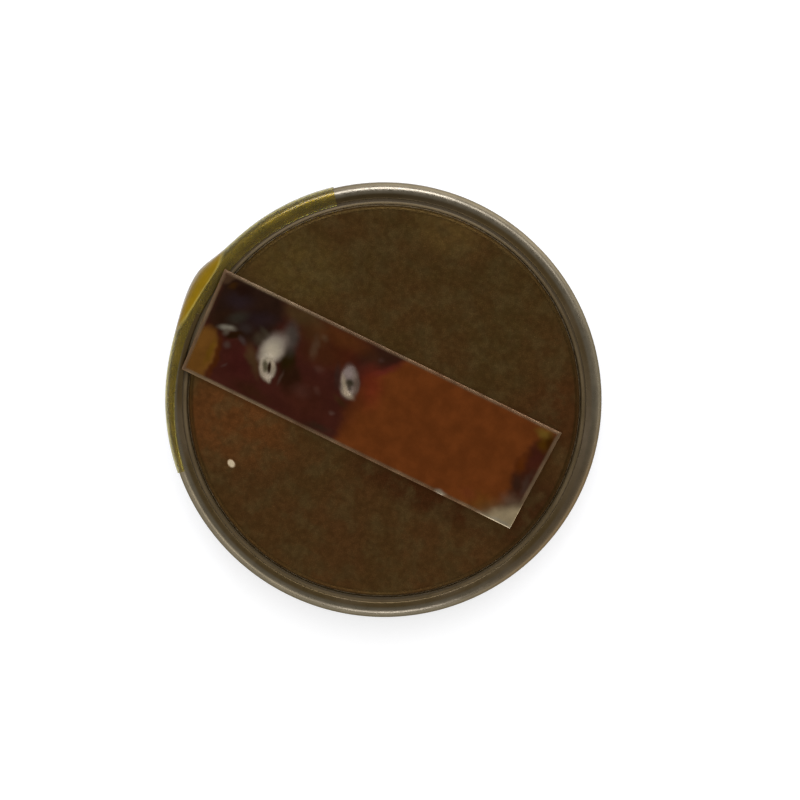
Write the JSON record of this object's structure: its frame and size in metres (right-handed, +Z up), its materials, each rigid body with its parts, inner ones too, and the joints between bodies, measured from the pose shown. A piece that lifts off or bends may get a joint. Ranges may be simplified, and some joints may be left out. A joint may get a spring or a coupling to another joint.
{
  "type": "lithium coin cell",
  "caption": "Round lithium coin cell with a rim crimped over a gasket, a nickel strip spot-welded across its negative cap and insulating tape folded over the rim.",
  "frame": {"origin": "centre of the positive face, the plain flat bottom of the can, on which the cell lies", "axes": "+Z up through the negative cap; +X along the connection strip from its welded end, over the tape, to its lifted free end"},
  "size_m": [0.0203, 0.02, 0.0036],
  "materials": {
    "can_steel": "nickel-plated steel, satin with bright roll",
    "gasket_plastic": "milky polypropylene",
    "cap_steel": "fine grained steel, darkened to olive brown",
    "lithium": "soft dull metal",
    "fleece": "matt fibre",
    "pressed_powder": "matt pressed powder",
    "ring_steel": "plain steel",
    "strip_nickel": "smooth nickel with bronze heat tint, purple brown round the welds",
    "tape_film": "glossy amber film"
  },
  "bodies": {
    "root": {"positive_can": "can_steel", "gasket": "gasket_plastic", "negative_cap": "cap_steel", "lithium_disc": "lithium", "separator": "fleece", "cathode_pellet": "pressed_powder", "cathode_ring": "ring_steel", "connection_strip": "strip_nickel", "insulating_tape": "tape_film"}
  },
  "joints": []
}
